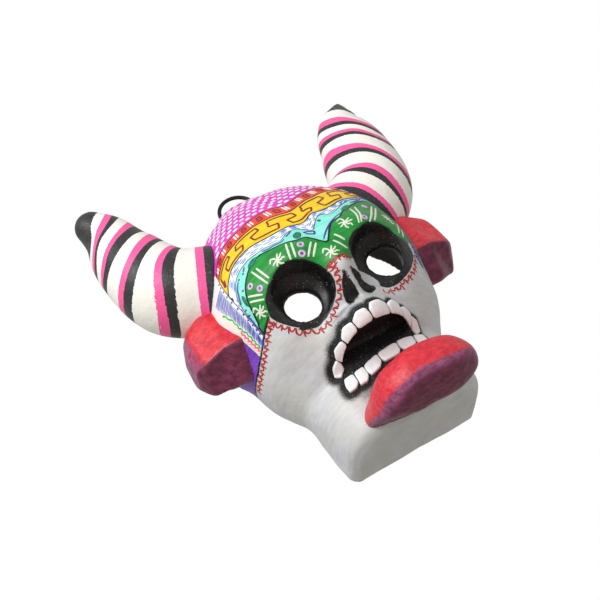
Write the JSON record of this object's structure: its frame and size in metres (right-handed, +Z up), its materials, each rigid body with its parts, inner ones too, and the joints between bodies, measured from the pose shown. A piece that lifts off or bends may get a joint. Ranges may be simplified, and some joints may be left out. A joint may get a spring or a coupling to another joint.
{
  "type": "devil mask wall hanging",
  "caption": "Hollow painted clay skull mask with curved striped horns, wedge ears, square teeth and a thick tongue, hung on a wall by a wire loop.",
  "frame": {"origin": "nail point: on the wall plane, level with the inside top of the wire loop, on the mask's midline", "axes": "+X to the viewer's right, +Y into the wall, +Z up"},
  "size_m": [0.176, 0.074, 0.1931],
  "materials": {
    "skull_paint": "satin hand-brushed paint over fired clay",
    "horn_paint": "satin hand-brushed white, black and pink rings",
    "ear_paint": "semi-gloss red over maroon paint",
    "tongue_paint": "semi-gloss red over maroon paint",
    "tooth_paint": "semi-gloss white paint",
    "wire": "dark annealed iron wire"
  },
  "bodies": {
    "root": {"head_shell": "skull_paint", "horn_left": "horn_paint", "horn_right": "horn_paint", "ear_left": "ear_paint", "ear_right": "ear_paint", "tongue": "tongue_paint", "upper_tooth_1": "tooth_paint", "upper_tooth_2": "tooth_paint", "upper_tooth_3": "tooth_paint", "upper_tooth_4": "tooth_paint", "upper_tooth_5": "tooth_paint", "upper_tooth_6": "tooth_paint", "upper_tooth_7": "tooth_paint", "upper_tooth_8": "tooth_paint", "lower_tooth_1": "tooth_paint", "lower_tooth_2": "tooth_paint", "lower_tooth_3": "tooth_paint", "lower_tooth_4": "tooth_paint", "lower_tooth_5": "tooth_paint", "lower_tooth_6": "tooth_paint", "hanging_loop": "wire"}
  },
  "joints": []
}
